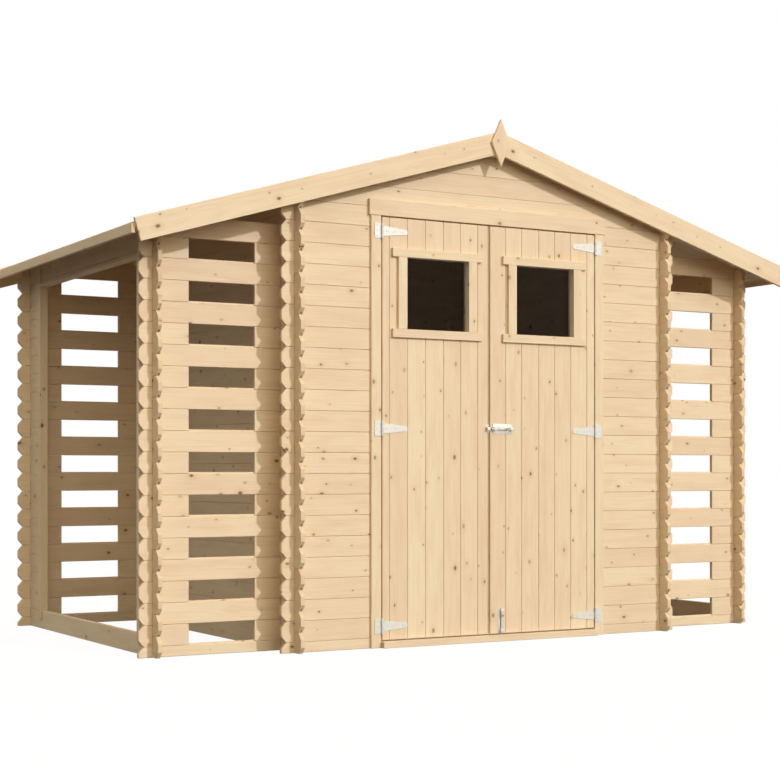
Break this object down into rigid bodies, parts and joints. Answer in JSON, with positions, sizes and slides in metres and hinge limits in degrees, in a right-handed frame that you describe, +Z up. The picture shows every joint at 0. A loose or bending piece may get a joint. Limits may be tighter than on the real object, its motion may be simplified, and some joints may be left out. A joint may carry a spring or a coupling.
{
  "type": "log shed with open log stores",
  "caption": "Gable-roofed garden shed of interlocked logs with glazed doors in the front and an open-sided, slatted log store under the roof at each side.",
  "frame": {"origin": "middle of the building at ground level, under the ridge and half way from front to back", "axes": "+X along the front to the right as seen from the front, +Y from the doors to the back, +Z up"},
  "size_m": [3.4296, 2.0656, 2.3114],
  "materials": {
    "log_wood": "planed bare spruce",
    "roof_wood": "planed bare spruce",
    "frame_wood": "planed bare spruce",
    "door_wood": "planed bare spruce",
    "window_glass": "clear, dark inside",
    "galvanised_steel": "bright galvanised"
  },
  "bodies": {
    "building": {"front_wall_left": "log_wood", "front_wall_right": "log_wood", "front_gable": "log_wood", "back_wall": "log_wood", "left_partition": "log_wood", "left_store_front": "log_wood", "left_store_back": "log_wood", "left_store_side": "log_wood", "left_opening_frame": "log_wood", "right_partition": "log_wood", "right_store_front": "log_wood", "right_store_back": "log_wood", "right_store_side": "log_wood", "right_opening_frame": "log_wood", "ridge_beam": "roof_wood", "front_finial": "roof_wood", "back_finial": "roof_wood", "left_roof": "roof_wood", "left_eave_strip": "roof_wood", "left_front_barge": "roof_wood", "left_back_barge": "roof_wood", "right_roof": "roof_wood", "right_eave_strip": "roof_wood", "right_front_barge": "roof_wood", "right_back_barge": "roof_wood", "left_door_post": "frame_wood", "right_door_post": "frame_wood", "door_header": "frame_wood", "door_sill": "frame_wood", "left_hinge_plates": "galvanised_steel", "right_hinge_plates": "galvanised_steel"},
    "left_door": {"left_leaf": "door_wood", "left_window_frame": "frame_wood", "left_window_glass": "window_glass", "left_hinge_straps": "galvanised_steel", "latch_keep": "galvanised_steel"},
    "right_door": {"right_leaf": "door_wood", "right_window_frame": "frame_wood", "right_window_glass": "window_glass", "right_hinge_straps": "galvanised_steel", "latch_plate": "galvanised_steel", "foot_bolt_plate": "galvanised_steel"},
    "latch": {"latch_bolt": "galvanised_steel"},
    "foot_bolt": {"foot_bolt_rod": "galvanised_steel"}
  },
  "joints": [
    {"name": "left_door_hinge", "type": "hinge", "parent": "building", "child": "left_door", "pos_m": [-0.5655, -0.9658, 0.9405], "axis": [0, 0, -1], "range_deg": [0, 160]},
    {"name": "right_door_hinge", "type": "hinge", "parent": "building", "child": "right_door", "pos_m": [0.5655, -0.9658, 0.9405], "axis": [0, 0, 1], "range_deg": [0, 160]},
    {"name": "latch_slide", "type": "slide", "parent": "right_door", "child": "latch", "axis": [-1, 0, 0], "range_m": [0, 0.022]},
    {"name": "foot_bolt_slide", "type": "slide", "parent": "right_door", "child": "foot_bolt", "axis": [0, 0, -1], "range_m": [0, 0.022]}
  ]
}
